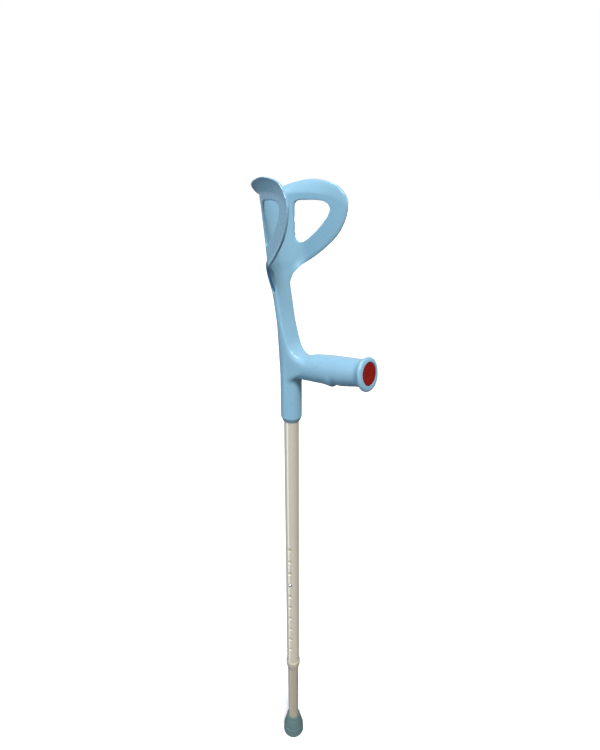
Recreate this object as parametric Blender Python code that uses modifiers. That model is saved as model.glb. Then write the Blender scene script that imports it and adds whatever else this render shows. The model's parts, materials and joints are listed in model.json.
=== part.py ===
# Forearm crutch: one-piece moulded cuff, neck, grip and sleeve on a telescopic aluminium tube.
# Metres. Origin at the centre of the ferrule's tread, +Z up the shaft, +X along the hand grip.
import math

import bmesh
import bpy
import mathutils
import numpy as np

for old in list(bpy.data.objects):
    bpy.data.objects.remove(old, do_unlink=True)

MM = 0.001
CLEAR = 0.3 * MM

# ---- driving dimensions, metres ----
OUTER_R = 11.0 * MM            # outer tube, 22 mm stock
OUTER_BORE = 9.8 * MM
INNER_R = 9.5 * MM             # inner tube, 19 mm stock
INNER_BORE = 8.3 * MM
OUTER_BOTTOM = 183.0 * MM
OUTER_TOP = 768.5 * MM
INNER_BOTTOM = 15.3 * MM
INNER_TOP = 460.0 * MM
HOLE_PITCH = 24.5 * MM
HOLE_COUNT = 10
HOLE_TOP_Z = 445.0 * MM        # uppermost adjusting hole
BUTTON_STEP = 3                # the button stands in the fourth hole
HOLE_R = 3.3 * MM
BUTTON_R = 3.0 * MM
HOLE_AZIMUTH = math.radians(-72.0)
BUTTON_Z = HOLE_TOP_Z - BUTTON_STEP * HOLE_PITCH

SLEEVE_R = 15.4 * MM
SLEEVE_BOTTOM = 677.0 * MM
SLEEVE_CHAMFER = 6.5 * MM
BORE_TOP = 769.0 * MM
SCREW_Z = 712.0 * MM

GRIP_ROOT_Z = 760.4 * MM       # height where the grip's axis meets the shaft
GRIP_RISE = math.radians(8.8)
GRIP_FACE = 131.8 * MM         # grip end face, along the grip's own axis
LENS_R = 14.9 * MM

CUFF_R = 37.3 * MM             # radius of the cuff's back
CUFF_REF_Z = 950.0 * MM
CUFF_BACK_X = -30.7 * MM       # back of the cuff at the reference height
CUFF_LEAN = -0.22              # the cuff leans back as it rises
CUFF_TAPER = -0.124            # sideways taper of the wings with height
CUFF_R_GROW = 0.046
CUFF_ARC = 1.20                # half angle of the round back, radians
CUFF_WALL = 3.6 * MM

coll = bpy.data.collections.new("forearm_crutch")
cuts = bpy.data.collections.new("cutters")
bpy.context.scene.collection.children.link(coll)
bpy.context.scene.collection.children.link(cuts)


def material(name, rgb, rough, metal=0.0, coat=0.0):
    mat = bpy.data.materials.new(name)
    mat.use_nodes = True
    shader = mat.node_tree.nodes["Principled BSDF"]
    shader.inputs["Base Color"].default_value = (*rgb, 1.0)
    shader.inputs["Roughness"].default_value = rough
    shader.inputs["Metallic"].default_value = metal
    shader.inputs["Coat Weight"].default_value = coat
    return mat


BLUE = (0.262, 0.473, 0.591)
ALU = (0.60, 0.57, 0.51)


def baked(obj):
    """The object's evaluated shape as a plain mesh, with doubles merged."""
    deps = bpy.context.evaluated_depsgraph_get()
    deps.update()
    return bpy.data.meshes.new_from_object(obj.evaluated_get(deps))


def settle(obj):
    """Apply every modifier and the transform."""
    bpy.context.view_layer.update()
    mesh = baked(obj)
    mesh.transform(obj.matrix_world)
    obj.modifiers.clear()
    if obj.type == "MESH":
        obj.data = mesh
        obj.matrix_world.identity()
        return obj
    new = bpy.data.objects.new(obj.name + "_solid", mesh)
    for c in list(obj.users_collection):
        c.objects.link(new)
    bpy.data.objects.remove(obj, do_unlink=True)
    return new


def merge(obj, dist=0.00002):
    bm = bmesh.new()
    bm.from_mesh(obj.data)
    bmesh.ops.remove_doubles(bm, verts=bm.verts, dist=dist)
    bmesh.ops.recalc_face_normals(bm, faces=bm.faces)
    bm.to_mesh(obj.data)
    bm.free()
    return obj


def lathe(name, profile, steps=32, closed=False, where=coll):
    """Turn a half-section (radius, height) about Z."""
    mesh = bpy.data.meshes.new(name)
    verts = [(r, 0.0, h) for r, h in profile]
    edges = [(i, i + 1) for i in range(len(verts) - 1)]
    if closed:
        edges.append((len(verts) - 1, 0))
    mesh.from_pydata(verts, edges, [])
    obj = bpy.data.objects.new(name, mesh)
    where.objects.link(obj)
    mod = obj.modifiers.new("turn", "SCREW")
    mod.steps = steps
    mod.render_steps = steps
    mod.use_merge_vertices = True
    mod.merge_threshold = 0.00002
    settle(obj)
    return merge(obj)


def rod(name, radius, start, end, verts=24):
    """A cutter: a plain cylinder from one point to another."""
    a = np.array(start, float)
    b = np.array(end, float)
    length = float(np.linalg.norm(b - a))
    bpy.ops.mesh.primitive_cylinder_add(vertices=verts, radius=radius, depth=length)
    obj = bpy.context.active_object
    obj.name = name
    for c in list(obj.users_collection):
        c.objects.unlink(obj)
    cuts.objects.link(obj)
    way = mathutils.Vector(b - a).normalized()
    turn = way.to_track_quat("Z", "Y")
    obj.location = mathutils.Vector((a + b) / 2)
    obj.rotation_mode = "QUATERNION"
    obj.rotation_quaternion = turn
    return settle(obj)


def block(name, centre, size, turn_z=0.0):
    bpy.ops.mesh.primitive_cube_add(size=1.0)
    obj = bpy.context.active_object
    obj.name = name
    for c in list(obj.users_collection):
        c.objects.unlink(obj)
    cuts.objects.link(obj)
    obj.location = centre
    obj.scale = size
    obj.rotation_euler = (0.0, 0.0, turn_z)
    return settle(obj)


def combine(obj, other, how):
    mod = obj.modifiers.new("cut", "BOOLEAN")
    mod.operation = how
    mod.solver = "EXACT"
    mod.object = other
    settle(obj)
    obj.data.materials.clear()
    return obj


def park(obj):
    """Keep a cutter in its own collection, hidden in renders."""
    obj.hide_render = True
    obj.display_type = "WIRE"
    for c in list(obj.users_collection):
        c.objects.unlink(obj)
    cuts.objects.link(obj)


def cut(obj, other):
    combine(obj, other, "DIFFERENCE")
    park(other)


def join(obj, other):
    combine(obj, other, "UNION")
    bpy.data.objects.remove(other, do_unlink=True)


def loft(name, rings, where=coll):
    """A closed skin over a stack of rings with equal point counts."""
    n = len(rings[0])
    verts = [tuple(p) for ring in rings for p in ring]
    faces = []
    for i in range(len(rings) - 1):
        for k in range(n):
            k2 = (k + 1) % n
            faces.append((i * n + k, i * n + k2, (i + 1) * n + k2, (i + 1) * n + k))
    faces.append(tuple(range(n))[::-1])
    faces.append(tuple((len(rings) - 1) * n + k for k in range(n)))
    mesh = bpy.data.meshes.new(name)
    mesh.from_pydata(verts, [], faces)
    obj = bpy.data.objects.new(name, mesh)
    where.objects.link(obj)
    return merge(obj)


def flat_shape(name, points, half_depth):
    """A filled outline in its own XY plane, thickened both ways."""
    curve = bpy.data.curves.new(name, "CURVE")
    curve.dimensions = "2D"
    curve.fill_mode = "BOTH"
    curve.extrude = half_depth
    spline = curve.splines.new("POLY")
    spline.points.add(len(points) - 1)
    for p, (x, y) in zip(spline.points, points):
        p.co = (x, y, 0.0, 1.0)
    spline.use_cyclic_u = True
    obj = bpy.data.objects.new(name, curve)
    cuts.objects.link(obj)
    return obj


def smooth_line(knots, per=4, closed=False):
    """Catmull-Rom points through a few knots."""
    pts = np.array(knots, float)
    n = len(pts)
    out = []
    spans = n if closed else n - 1
    for i in range(spans):
        if closed:
            p0, p1, p2, p3 = pts[(i - 1) % n], pts[i], pts[(i + 1) % n], pts[(i + 2) % n]
        else:
            p0, p1, p2, p3 = pts[max(i - 1, 0)], pts[i], pts[i + 1], pts[min(i + 2, n - 1)]
        for j in range(per):
            t = j / per
            out.append(0.5 * (2 * p1 + (p2 - p0) * t + (2 * p0 - 5 * p1 + 4 * p2 - p3) * t ** 2
                              + (3 * p1 - p0 - 3 * p2 + p3) * t ** 3))
    if not closed:
        out.append(pts[-1])
    return np.array(out)


def level(x, knots):
    """Straight-line lookup in a short list of (x, value) knots."""
    ks = np.array(knots, float)
    return float(np.interp(x, ks[:, 0], ks[:, 1]))


# ---- cuff shell: a leaning C-shaped wall with a flared lip ----
def cuff_point(u, z, off):
    """u: distance round the wall from the middle of the back; off: outward offset."""
    dz = z - CUFF_REF_Z
    radius = CUFF_R + CUFF_R_GROW * dz
    a = abs(u)
    phi = min(a / radius, CUFF_ARC)
    x = CUFF_BACK_X + CUFF_LEAN * dz + radius * (1 - math.cos(phi))
    y = radius * math.sin(phi)
    rest = a - radius * phi
    x += rest * math.sin(phi)
    y += rest * math.cos(phi)
    y += CUFF_TAPER * dz * min(1.0, a / radius)
    x -= off * math.cos(phi)
    y += off * math.sin(phi)
    return (x, math.copysign(y, u) if u else 0.0, z)


# lower and upper edge heights of a wing against the distance from the back, millimetres
LOW_EDGE = smooth_line([(0, 868), (7, 868), (12, 876), (17, 887), (28, 896.5), (44, 905.5), (66, 919.5),
                        (90, 939), (105, 959.5), (111.5, 975)], 3)
TOP_EDGE = smooth_line([(0, 987), (8, 987.5), (15, 990), (22, 994), (30, 998), (40, 1001.6), (55, 1005.2),
                        (72, 1006.2), (91, 1003), (103, 997.4), (109.5, 988.6), (111.5, 982)], 3)
# where the lip starts to flare and how far it reaches outward, against the same distance
LIP_START = [(0, 981), (15, 984.5), (30, 988.5), (45, 989.5), (62, 989.5), (78, 988), (92, 985.5),
             (112, 975)]
LIP_REACH = [(0, 5.0), (15, 6.0), (30, 8.6), (45, 9.3), (62, 8.8), (78, 6.6), (92, 3.6), (112, 1.0)]
WING_COLUMNS = [0, 6, 12, 17, 22, 28, 35, 43, 51, 60, 69, 78, 86, 93, 99, 104, 108, 110.4, 111.4]
WALL_ROWS = 9
LIP_ROWS = 5
ROWS = WALL_ROWS + LIP_ROWS


def cuff_shell():
    us = [-c for c in WING_COLUMNS[::-1][:-1]] + WING_COLUMNS
    sheets = []
    for side in (0.5, -0.5):
        sheet = []
        for u in us:
            low = level(abs(u), LOW_EDGE)
            top = level(abs(u), TOP_EDGE)
            start = min(max(level(abs(u), LIP_START), low + 0.3 * (top - low)), top - 0.1 * (top - low))
            sink = 2.4 * float(np.clip((22 - abs(u)) / 8, 0, 1))
            column = []
            for i in range(ROWS):
                if i < WALL_ROWS:
                    z = low + (start - low) * i / WALL_ROWS
                else:
                    z = start + (top - start) * (i - WALL_ROWS) / (LIP_ROWS - 1)
                t = max(0.0, (z - start) / (top - start))
                off = level(abs(u), LIP_REACH) * (0.46 * t + 0.54 * t * t)
                off += sink * float(np.clip((902 - z) / 22, 0, 1))
                column.append(cuff_point(u * MM, z * MM, off * MM + side * CUFF_WALL))
            sheet.append(column)
        sheets.append(sheet)
    nc = len(us)
    verts = [p for sheet in sheets for column in sheet for p in column]

    def at(s, c, r):
        return (s * nc + c) * ROWS + r

    faces = []
    for c in range(nc - 1):
        for r in range(ROWS - 1):
            faces.append((at(0, c, r), at(0, c, r + 1), at(0, c + 1, r + 1), at(0, c + 1, r)))
            faces.append((at(1, c, r), at(1, c + 1, r), at(1, c + 1, r + 1), at(1, c, r + 1)))
        for r in (0, ROWS - 1):
            faces.append((at(0, c, r), at(0, c + 1, r), at(1, c + 1, r), at(1, c, r)))
    for c in (0, nc - 1):
        for r in range(ROWS - 1):
            faces.append((at(0, c, r), at(0, c, r + 1), at(1, c, r + 1), at(1, c, r)))
    mesh = bpy.data.meshes.new("cuff_shell")
    mesh.from_pydata(verts, [], faces)
    obj = bpy.data.objects.new("cuff_shell", mesh)
    coll.objects.link(obj)
    return merge(obj)


# ---- neck: a strap with a flat front and a round back, thinning into the cuff ----
# height, front X, back X, half width, straight side, hollow of the front; millimetres
NECK = [(744, 13.0, -15.4, 15.0, 13.0, 0.0), (757, 27.0, -16.6, 15.1, 27.0, 0.0),
        (767, 34.0, -17.4, 15.1, 34.0, 0.0), (773.5, 35.5, -18.0, 15.0, 35.5, 0.0),
        (777.5, 29.5, -18.3, 15.0, 29.5, 0.0), (781, 21.5, -18.5, 14.9, 21.5, 0.0),
        (785.5, 14.2, -18.7, 14.8, 15.5, 0.0), (791.5, 8.4, -18.9, 14.8, 11.0, 0.0),
        (800, 4.0, -19.0, 14.8, 8.0, 0.0), (817, -1.3, -19.6, 14.9, 5.5, 0.0),
        (833, -5.3, -20.8, 15.0, 5.0, 0.0), (855, -9.4, -24.6, 15.0, 5.5, 0.1),
        (868, -12.2, -28.4, 15.0, 6.6, 0.3), (881, -14.8, -33.4, 15.2, 9.8, 0.5),
        (890, -17.0, -36.0, 15.2, 11.8, 0.8), (898, -19.2, -36.8, 15.0, 12.4, 1.0),
        (904, -20.8, -35.4, 14.6, 10.0, 1.0), (908.5, -21.8, -31.0, 13.4, 5.0, 1.0)]
# outline of the hollow in each side of the neck, X and Z, and half the web left between the two
NECK_HOLLOW = [(-15.6, 864), (-18.4, 878), (-20.6, 888), (-23.0, 898), (-25.5, 904.0), (-29.5, 901),
               (-29.8, 892), (-26.6, 881), (-21.2, 869)]
WEB = 4.2 * MM
HOLLOW_DEPTH = 36.0 * MM


def neck_ring(z, front, back, half, side, hollow):
    ring = []
    for k in range(9):
        y = -half + 2 * half * k / 8
        ring.append((front + hollow * y * y / (2 * 37.0), y))
    corner = ring[-1][0]
    mid = corner - side
    for k in range(0, 13):
        a = math.pi * k / 12
        ring.append((mid + (back - mid) * math.sin(a), half * math.cos(a)))
    return [(x * MM, y * MM, z * MM) for x, y in ring]


def side_cutter(name, outline, y_from, depth, side):
    """An outline in X and Z, reaching outward in Y on one side of the middle plane."""
    cutter = flat_shape(name, [(x * MM, z * MM) for x, z in outline], depth / 2)
    cutter.rotation_euler = (math.pi / 2, 0.0, 0.0)
    cutter.location = (0.0, side * (y_from + depth / 2), 0.0)
    return merge(settle(cutter))


def neck():
    return loft("neck", [neck_ring(*row) for row in smooth_line(NECK, 2)])


# ---- grip: oval sections along its own axis ----
# distance, half height up, half height down, half width; millimetres
GRIP = [(2, 15.5, 15.5, 13.9), (18, 17.4, 17.0, 14.9), (36, 18.3, 17.9, 15.5), (50, 19.2, 18.8, 16.0),
        (62, 19.8, 19.6, 16.3), (69, 20.0, 20.9, 16.4), (73.5, 20.0, 22.2, 16.4), (77.5, 20.0, 20.6, 16.4),
        (81.5, 19.9, 18.5, 16.4), (86, 19.7, 18.9, 16.4), (91, 19.3, 19.5, 16.5), (99, 18.9, 18.8, 16.6),
        (108, 18.5, 18.0, 16.8), (116, 18.0, 17.5, 16.9), (120.4, 18.1, 18.2, 17.3),
        (123.4, 18.9, 19.7, 18.5), (126, 20.2, 21.6, 20.2), (127.8, 20.8, 22.7, 21.1),
        (129.4, 20.6, 22.6, 21.0),
        (130.6, 19.8, 21.8, 20.1), (131.4, 18.4, 20.4, 18.7), (131.8, 16.4, 18.2, 16.7)]


def grip_axis(s):
    return (s * math.cos(GRIP_RISE), 0.0, GRIP_ROOT_Z + s * math.sin(GRIP_RISE))


def grip():
    rings = []
    for s, up, down, half in smooth_line(GRIP, 2):
        cx, cy, cz = grip_axis(s * MM)
        ring = []
        for k in range(32):
            a = 2 * math.pi * k / 32
            ca, sa = math.cos(a), math.sin(a)
            y = half * math.copysign(abs(ca) ** 0.92, ca)
            h = (up if sa > 0 else down) * math.copysign(abs(sa) ** 0.92, sa)
            ring.append((cx - h * MM * math.sin(GRIP_RISE), cy + y * MM, cz + h * MM * math.cos(GRIP_RISE)))
        rings.append(ring)
    return loft("grip", rings)


def along_grip(obj):
    """Lay a turned piece, built up Z from zero, along the grip's axis."""
    obj.location = (0.0, 0.0, GRIP_ROOT_Z)
    obj.rotation_euler = (0.0, math.pi / 2 - GRIP_RISE, 0.0)
    return obj


def on_button_axis(obj):
    """Lay a turned piece, built up Z from zero, along the button's axis."""
    obj.location = (0.0, 0.0, BUTTON_Z)
    obj.rotation_euler = (0.0, math.pi / 2, HOLE_AZIMUTH)
    return obj


# ---- upper moulding ----
sleeve = lathe("sleeve", [(0, 0.775), (SLEEVE_R - 0.2 * MM, 0.775), (SLEEVE_R, 0.760),
                          (SLEEVE_R, SLEEVE_BOTTOM + SLEEVE_CHAMFER),
                          (12.3 * MM, SLEEVE_BOTTOM), (0, SLEEVE_BOTTOM)], 32)
upper = neck()
upper.name = "upper_moulding"
for side in (1, -1):
    cut(upper, side_cutter("neck_hollow_cutter_%d" % (2 + side), smooth_line(NECK_HOLLOW, 2, True), WEB,
                           HOLLOW_DEPTH, side))
join(upper, sleeve)
join(upper, grip())
shell = cuff_shell()

# window outline seen from the side, millimetres X and Z; the one on the -Y side stands a little forward
WINDOW = [(-18.8, 972), (-15.5, 979.5), (-4, 980.6), (9, 980.6), (20.5, 978.4), (26.6, 971), (23.6, 960),
          (14, 947), (3.6, 936), (-5, 929), (-11, 927.5), (-16, 933), (-18, 952)]
for side, shift in ((1, 0.0), (-1, 1.6)):
    outline = [(x + shift, z) for x, z in smooth_line(WINDOW, 3, True)]
    cut(shell, side_cutter("window_cutter_%d" % (2 + side), outline, 3.0 * MM, 77.0 * MM, side))
join(upper, shell)

cut(upper, rod("tube_bore_cutter", OUTER_R + CLEAR, (0, 0, SLEEVE_BOTTOM - 0.01), (0, 0, BORE_TOP), 32))
pocket_profile = [(0, GRIP_FACE + 4.0 * MM), (LENS_R + CLEAR, GRIP_FACE + 4.0 * MM),
                  (LENS_R + CLEAR, GRIP_FACE - 3.4 * MM), (14.8 * MM, GRIP_FACE - 3.4 * MM),
                  (14.8 * MM, GRIP_FACE - 5.9 * MM), (4.4 * MM, GRIP_FACE - 5.9 * MM),
                  (4.4 * MM, GRIP_FACE - 24.0 * MM), (0, GRIP_FACE - 24.0 * MM)]
lens_pocket = along_grip(lathe("lens_pocket_cutter", pocket_profile, 32))
cut(upper, lens_pocket)
cut(upper, rod("screw_head_cutter", 3.6 * MM, (-0.030, 0, SCREW_Z), (-13.0 * MM, 0, SCREW_Z), 20))
cut(upper, rod("screw_hole_cutter", 1.9 * MM, (-0.014, 0, SCREW_Z), (-0.010, 0, SCREW_Z), 16))
merge(upper, 0.00001)
upper.data.materials.append(material("moulded_blue", BLUE, 0.34, 0.0, 0.25))

# ---- reflector in the grip's end ----
lens_profile = [(0, GRIP_FACE - 0.75 * MM), (10.0 * MM, GRIP_FACE - 0.55 * MM),
                (13.6 * MM, GRIP_FACE - 0.35 * MM), (LENS_R, GRIP_FACE - 1.3 * MM),
                (LENS_R, GRIP_FACE - 3.1 * MM), (0, GRIP_FACE - 3.1 * MM)]
lens = along_grip(lathe("reflector_lens", lens_profile, 32))
lens.data.materials.append(material("reflector_red", (0.30, 0.010, 0.008), 0.16, 0.0, 0.6))
back_profile = [(0, GRIP_FACE - 3.5 * MM), (14.4 * MM, GRIP_FACE - 3.5 * MM),
                (14.4 * MM, GRIP_FACE - 5.5 * MM), (4.0 * MM, GRIP_FACE - 5.5 * MM),
                (4.0 * MM, GRIP_FACE - 20.0 * MM), (3.2 * MM, GRIP_FACE - 23.0 * MM),
                (0, GRIP_FACE - 23.0 * MM)]
back = along_grip(lathe("reflector_back", back_profile, 32))
back.data.materials.append(material("reflector_shell", (0.30, 0.30, 0.31), 0.5))

# ---- outer tube with its row of adjusting holes ----
outer = lathe("outer_tube", [(OUTER_R, OUTER_TOP), (OUTER_R, OUTER_BOTTOM), (OUTER_BORE, OUTER_BOTTOM),
                             (OUTER_BORE, OUTER_TOP)], 32, True)
facing = np.array([math.cos(HOLE_AZIMUTH), math.sin(HOLE_AZIMUTH), 0.0])
for i in range(HOLE_COUNT):
    at = np.array([0, 0, HOLE_TOP_Z - i * HOLE_PITCH])
    name = "adjusting_hole_cutter_%d" % (i + 1)
    cut(outer, rod(name, HOLE_R, at + facing * 0.005, at + facing * 0.016, 16))
cut(outer, rod("tube_screw_hole_cutter", 1.9 * MM, (-0.014, 0, SCREW_Z), (-0.007, 0, SCREW_Z), 16))
merge(outer, 0.00001)
outer.data.materials.append(material("anodised_outer", ALU, 0.34, 1.0))

# ---- tube fixing screw, in the back of the sleeve ----
screw = lathe("tube_screw", [(0, 15.2 * MM), (2.2 * MM, 14.95 * MM), (3.2 * MM, 14.0 * MM),
                             (3.2 * MM, 13.3 * MM), (1.6 * MM, 13.3 * MM), (1.6 * MM, 7.6 * MM),
                             (0.9 * MM, 6.6 * MM), (0, 6.6 * MM)], 20)
for number, turn in ((1, 0.0), (2, math.pi / 2)):
    size = (3.2 * MM, 0.7 * MM, 1.6 * MM)
    recess = block("screw_recess_cutter_%d" % number, (0, 0, 15.0 * MM), size, turn)
    cut(screw, recess)
merge(screw, 0.000005)
screw.location = (0.0, 0.0, SCREW_Z)
screw.rotation_euler = (0.0, -math.pi / 2, 0.0)
screw.data.materials.append(material("screw_zinc", (0.55, 0.55, 0.57), 0.3, 1.0))

# ---- collar bush at the foot of the outer tube ----
collar_profile = [(12.0 * MM, 189.0 * MM), (12.3 * MM, 188.4 * MM), (12.4 * MM, 186.0 * MM),
                  (12.3 * MM, 181.5 * MM), (11.6 * MM, 177.5 * MM), (10.7 * MM, 173.0 * MM),
                  (10.3 * MM, 170.4 * MM), (9.8 * MM, 170.4 * MM), (9.8 * MM, 182.7 * MM),
                  (11.3 * MM, 182.7 * MM), (11.3 * MM, 188.6 * MM), (11.5 * MM, 189.0 * MM)]
collar = lathe("collar_bush", collar_profile, 32, True)
collar.data.materials.append(material("collar_beige", (0.46, 0.42, 0.32), 0.5))

# ---- inner tube ----
inner = lathe("inner_tube", [(INNER_R, INNER_TOP), (INNER_R, INNER_BOTTOM), (INNER_BORE, INNER_BOTTOM),
                             (INNER_BORE, INNER_TOP)], 32, True)
at = np.array([0, 0, BUTTON_Z])
cut(inner, rod("button_hole_cutter", HOLE_R, at + facing * 0.005, at + facing * 0.013, 16))
merge(inner, 0.00001)
inner.data.materials.append(material("anodised_inner", (0.42, 0.38, 0.31), 0.38, 1.0))

# ---- snap button and its leaf spring ----
button_profile = [(0, 13.2 * MM), (1.2 * MM, 13.0 * MM), (2.3 * MM, 12.3 * MM), (BUTTON_R, 11.1 * MM),
                  (BUTTON_R, 7.3 * MM), (1.0 * MM, 7.3 * MM), (1.0 * MM, 6.1 * MM), (2.0 * MM, 6.1 * MM),
                  (2.0 * MM, 5.5 * MM), (0, 5.5 * MM)]
button = on_button_axis(lathe("snap_button", button_profile, 20))
button.data.materials.append(material("button_steel", (0.62, 0.61, 0.58), 0.28, 1.0))

SPRING_OUT = 7.0
SPRING_IN = 6.4
leg_top = 9.0
bend_z = -46.0
outline = [(SPRING_OUT, leg_top), (SPRING_OUT, bend_z)]
for k in range(1, 12):
    a = -math.pi * k / 12
    outline.append((SPRING_OUT * math.cos(a), bend_z + SPRING_OUT * math.sin(a)))
outline += [(-SPRING_OUT, bend_z), (-SPRING_OUT, -16.0), (-SPRING_IN, -16.0), (-SPRING_IN, bend_z)]
for k in range(1, 12):
    a = -math.pi + math.pi * k / 12
    outline.append((SPRING_IN * math.cos(a), bend_z + SPRING_IN * math.sin(a)))
outline += [(SPRING_IN, bend_z), (SPRING_IN, leg_top)]
leaf = flat_shape("button_spring", [(x * MM, z * MM) for x, z in outline], 3.5 * MM)
leaf.rotation_euler = (math.pi / 2, 0.0, HOLE_AZIMUTH)
leaf.location = (0, 0, BUTTON_Z)
leaf = merge(settle(leaf))
leaf.name = "button_spring"
for c in list(leaf.users_collection):
    c.objects.unlink(leaf)
coll.objects.link(leaf)
cut(leaf, rod("rivet_hole_cutter", 1.3 * MM, at + facing * 0.0060, at + facing * 0.0074, 16))
merge(leaf, 0.000005)
leaf.data.materials.append(material("spring_steel", (0.40, 0.40, 0.42), 0.35, 1.0))

# ---- ferrule with its steel washer ----
ferrule_side = [(0, 43.0), (11.4, 43.0), (12.3, 42.4), (12.6, 41.0), (12.3, 39.2), (13.3, 36.4),
                (15.2, 29.4), (16.9, 21.8), (17.5, 17.4), (18.4, 16.4), (18.5, 15.3), (17.95, 13.9),
                (18.35, 8.0), (18.3, 3.0), (18.0, 1.2), (17.4, 0.3), (16.6, 0.0)]
tread = [(13.6, 0.0), (13.2, 1.4), (12.0, 1.4), (11.6, 0.0), (9.2, 0.0), (8.8, 1.4), (7.6, 1.4), (7.2, 0.0),
         (4.8, 0.0), (4.5, 1.2), (3.6, 1.2), (3.3, 0.0), (0, 0)]
ferrule = lathe("ferrule", [(r * MM, h * MM) for r, h in ferrule_side + tread], 32)
socket = lathe("ferrule_socket_cutter", [(0, 0.050), (INNER_R + CLEAR, 0.050), (INNER_R + CLEAR, 15.6 * MM),
                                         (10.6 * MM, 15.4 * MM), (10.6 * MM, 13.1 * MM), (0, 13.1 * MM)], 32)
cut(ferrule, socket)
merge(ferrule, 0.00001)
ferrule.data.materials.append(material("ferrule_rubber", (0.115, 0.19, 0.20), 0.72))
washer = lathe("ferrule_washer", [(10.2 * MM, 15.0 * MM), (10.2 * MM, 13.4 * MM), (3.0 * MM, 13.4 * MM),
                                  (3.0 * MM, 15.0 * MM)], 32, True)
washer.data.materials.append(material("washer_steel", (0.45, 0.45, 0.46), 0.4, 1.0))

# ---- the lower leg slides in the outer tube: its pieces hang from one empty on the shaft's axis ----
leg = bpy.data.objects.new("lower_leg", None)
leg.empty_display_size = 0.03
coll.objects.link(leg)
for piece in (inner, leaf, ferrule, washer, button):
    piece.parent = leg

for piece in coll.objects:
    if piece.type == "MESH":
        piece.data.shade_smooth()
        piece.data.set_sharp_from_angle(angle=math.radians(32.0))
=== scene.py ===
# Forearm crutch: the detailed visual model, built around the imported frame. Metres.
import json
import math

import bmesh
import bpy
import numpy as np
from mathutils import Matrix, Vector

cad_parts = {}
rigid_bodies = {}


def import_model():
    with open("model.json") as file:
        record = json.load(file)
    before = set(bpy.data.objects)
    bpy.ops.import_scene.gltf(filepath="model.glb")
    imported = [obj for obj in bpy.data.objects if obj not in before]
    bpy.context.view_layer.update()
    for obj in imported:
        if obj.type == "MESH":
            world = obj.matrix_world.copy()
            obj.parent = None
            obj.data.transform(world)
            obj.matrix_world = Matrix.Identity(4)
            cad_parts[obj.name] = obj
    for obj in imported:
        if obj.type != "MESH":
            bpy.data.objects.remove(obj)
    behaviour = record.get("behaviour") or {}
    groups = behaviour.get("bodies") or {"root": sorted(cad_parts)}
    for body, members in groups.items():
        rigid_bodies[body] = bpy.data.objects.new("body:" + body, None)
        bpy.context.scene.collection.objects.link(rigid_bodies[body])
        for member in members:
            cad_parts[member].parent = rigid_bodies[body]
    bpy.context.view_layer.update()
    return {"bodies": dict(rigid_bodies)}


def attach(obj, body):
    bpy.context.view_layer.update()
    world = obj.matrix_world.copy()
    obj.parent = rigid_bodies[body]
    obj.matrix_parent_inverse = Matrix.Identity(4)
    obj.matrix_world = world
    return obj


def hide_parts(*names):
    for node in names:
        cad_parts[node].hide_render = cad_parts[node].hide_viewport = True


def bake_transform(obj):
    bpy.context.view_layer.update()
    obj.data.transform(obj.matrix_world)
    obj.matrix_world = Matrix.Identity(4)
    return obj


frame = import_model()
scene = bpy.context.scene
MM = 0.001

# ---------------------------------------------------------------- dimensions, millimetres
TUBE_R = 11.0                       # outer tube
TUBE_BORE = 9.8
TUBE_FOOT = 183.0
TUBE_TOP = 768.5
INNER_R = 9.5                       # inner tube
INNER_BORE = 8.3
INNER_FOOT = 15.3
INNER_TOP = 460.0
TUBE_BREAK = 0.35                   # how far the ends of a tube are broken
ROW_STEP = 6.3                      # rows of points along a tube, for even shading at the holes
HOLE_TOP = 445.0                    # uppermost adjusting hole
HOLE_PITCH = 24.5
HOLE_COUNT = 10
HOLE_R = 3.3
HOLE_AZIMUTH = math.radians(-72.0)
BUTTON_STEP = 3                     # steps from the uppermost hole to the button's
BUTTON_Z = HOLE_TOP - BUTTON_STEP * HOLE_PITCH
SLEEVE_R = 15.4
SLEEVE_FOOT = 677.0
BORE_TOP = 769.0
SCREW_Z = 712.0
SCREW_R = 1.9
GRIP_ROOT_Z = 760.4                 # where the axis of the grip meets that of the shaft
GRIP_RISE = math.radians(8.8)
GRIP_FACE = 131.8                   # along the grip, from the axis of the shaft
LENS_R = 14.9
VOXEL = 0.95                        # grain of the moulding's skin
WELD = 0.00001                      # metres between points that become one
SHARP = math.radians(35.0)          # edges over this angle stay crisp

# cuff surface
CUFF_R = 37.3                       # radius round the back at the reference height
CUFF_REF_Z = 950.0
CUFF_BACK_X = -30.7
CUFF_LEAN = -0.22                   # lean, taper and growth are for each millimetre of height
CUFF_TAPER = -0.124
CUFF_R_GROW = 0.046
CUFF_ARC = 1.20                     # radians of curve, before the wings run straight
CUFF_HALF = 111.5                   # from the middle of the back round to the tip of a wing
CUFF_WALL = 3.6


# ---------------------------------------------------------------- mesh helpers
def new_object(name, verts, faces):
    mesh = bpy.data.meshes.new(name)
    mesh.from_pydata([tuple(float(c) * MM for c in v) for v in verts], [], faces)
    obj = bpy.data.objects.new(name, mesh)
    scene.collection.objects.link(obj)
    return obj


def tidy(obj):
    """Weld doubled points and turn the faces outward."""
    bm = bmesh.new()
    bm.from_mesh(obj.data)
    bmesh.ops.remove_doubles(bm, verts=bm.verts, dist=WELD)
    bmesh.ops.recalc_face_normals(bm, faces=bm.faces)
    bm.to_mesh(obj.data)
    bm.free()
    return obj


def settle(obj):
    """Apply every modifier and the transform."""
    bpy.context.view_layer.update()
    deps = bpy.context.evaluated_depsgraph_get()
    deps.update()
    mesh = bpy.data.meshes.new_from_object(obj.evaluated_get(deps))
    mesh.transform(obj.matrix_world)
    obj.modifiers.clear()
    obj.data = mesh
    obj.matrix_world = Matrix()
    return obj


# the quick solver for closed meshes, where this Blender has it
SOLVERS = bpy.types.BooleanModifier.bl_rna.properties["solver"].enum_items
QUICK = "MANIFOLD" if "MANIFOLD" in [item.identifier for item in SOLVERS] else "EXACT"


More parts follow.
